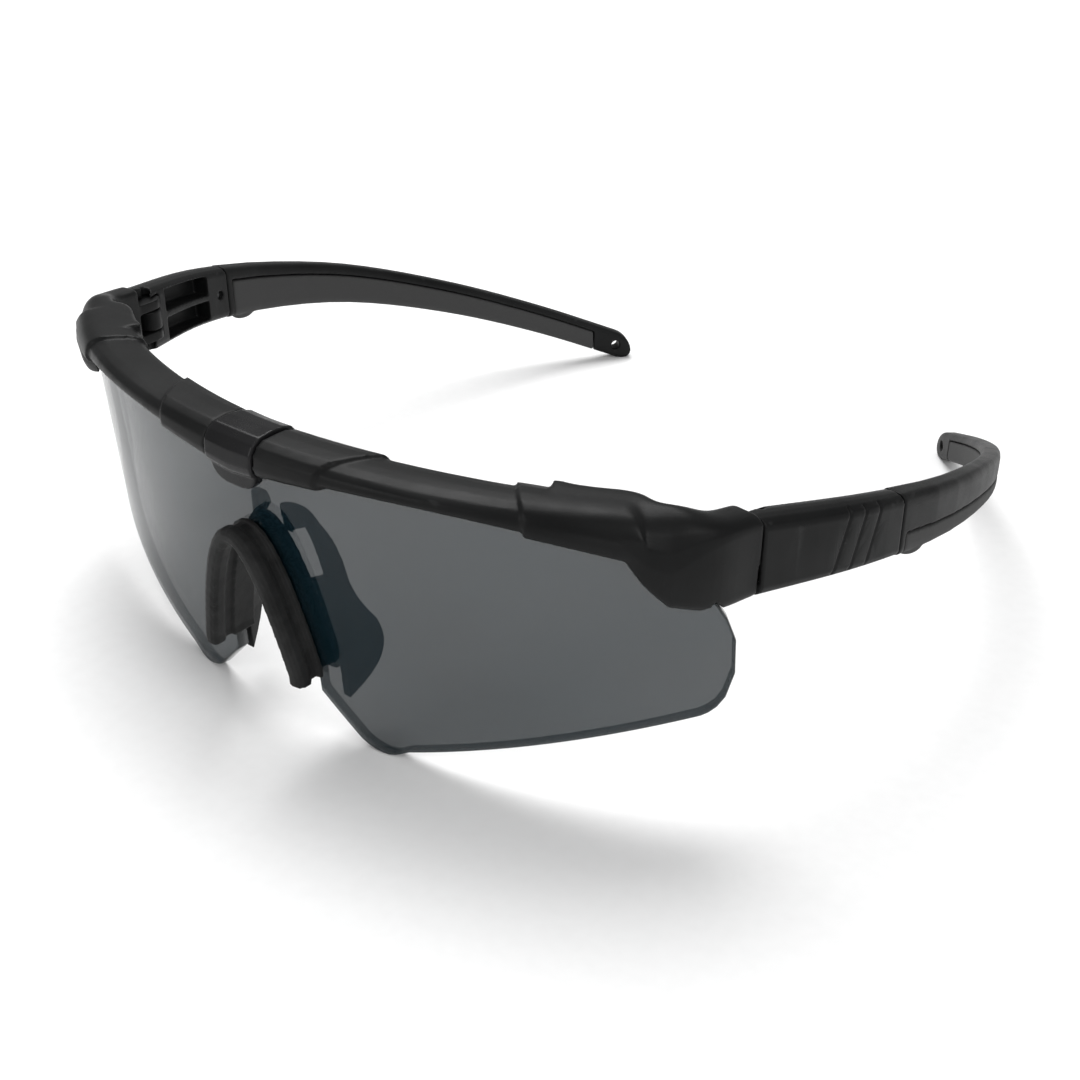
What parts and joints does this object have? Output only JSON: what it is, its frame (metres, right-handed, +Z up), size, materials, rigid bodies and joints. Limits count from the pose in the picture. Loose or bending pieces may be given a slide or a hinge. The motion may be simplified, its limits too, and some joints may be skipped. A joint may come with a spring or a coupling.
{
  "type": "safety glasses",
  "caption": "Wrap-round safety glasses: one smoke shield lens under a black brow frame, a clip-on nosepiece with soft pads, and two folding temples with soft grips.",
  "frame": {"origin": "centre of the footprint box at the height of the surface that the glasses stand on", "axes": "+Z up, -Y the way the wearer looks, +X towards the wearer's left temple"},
  "size_m": [0.1634, 0.1686, 0.0551],
  "materials": {
    "frame_black": "satin black moulded nylon",
    "collar_black": "slightly glossier black moulded plastic",
    "lens_smoke": "polished smoke-grey polycarbonate",
    "clip_black": "matt black moulded nylon",
    "pad_rubber": "matt black soft rubber",
    "temple_black": "satin black moulded nylon",
    "grip_rubber": "matt black soft overmould",
    "steel": "plain steel screw and pin"
  },
  "bodies": {
    "front": {"bridge_collar": "collar_black", "brow_frame": "frame_black", "hinge_screw_left": "steel", "hinge_screw_right": "steel", "nose_clip": "clip_black", "nose_pad_left": "pad_rubber", "nose_pad_right": "pad_rubber", "shield_lens": "lens_smoke"},
    "temple_left": {"temple_front_left": "temple_black", "temple_grip_left": "grip_rubber", "temple_pin_left": "steel", "temple_rear_left": "temple_black"},
    "temple_right": {"temple_front_right": "temple_black", "temple_grip_right": "grip_rubber", "temple_pin_right": "steel", "temple_rear_right": "temple_black"}
  },
  "joints": [
    {"name": "temple_left_fold", "type": "hinge", "parent": "front", "child": "temple_left", "pos_m": [0.0694, -0.04183, 0.0426], "axis": [0, 0, 1], "range_deg": [0, 84]},
    {"name": "temple_right_fold", "type": "hinge", "parent": "front", "child": "temple_right", "pos_m": [-0.0694, -0.04183, 0.0426], "axis": [0, 0, -1], "range_deg": [0, 70]}
  ]
}
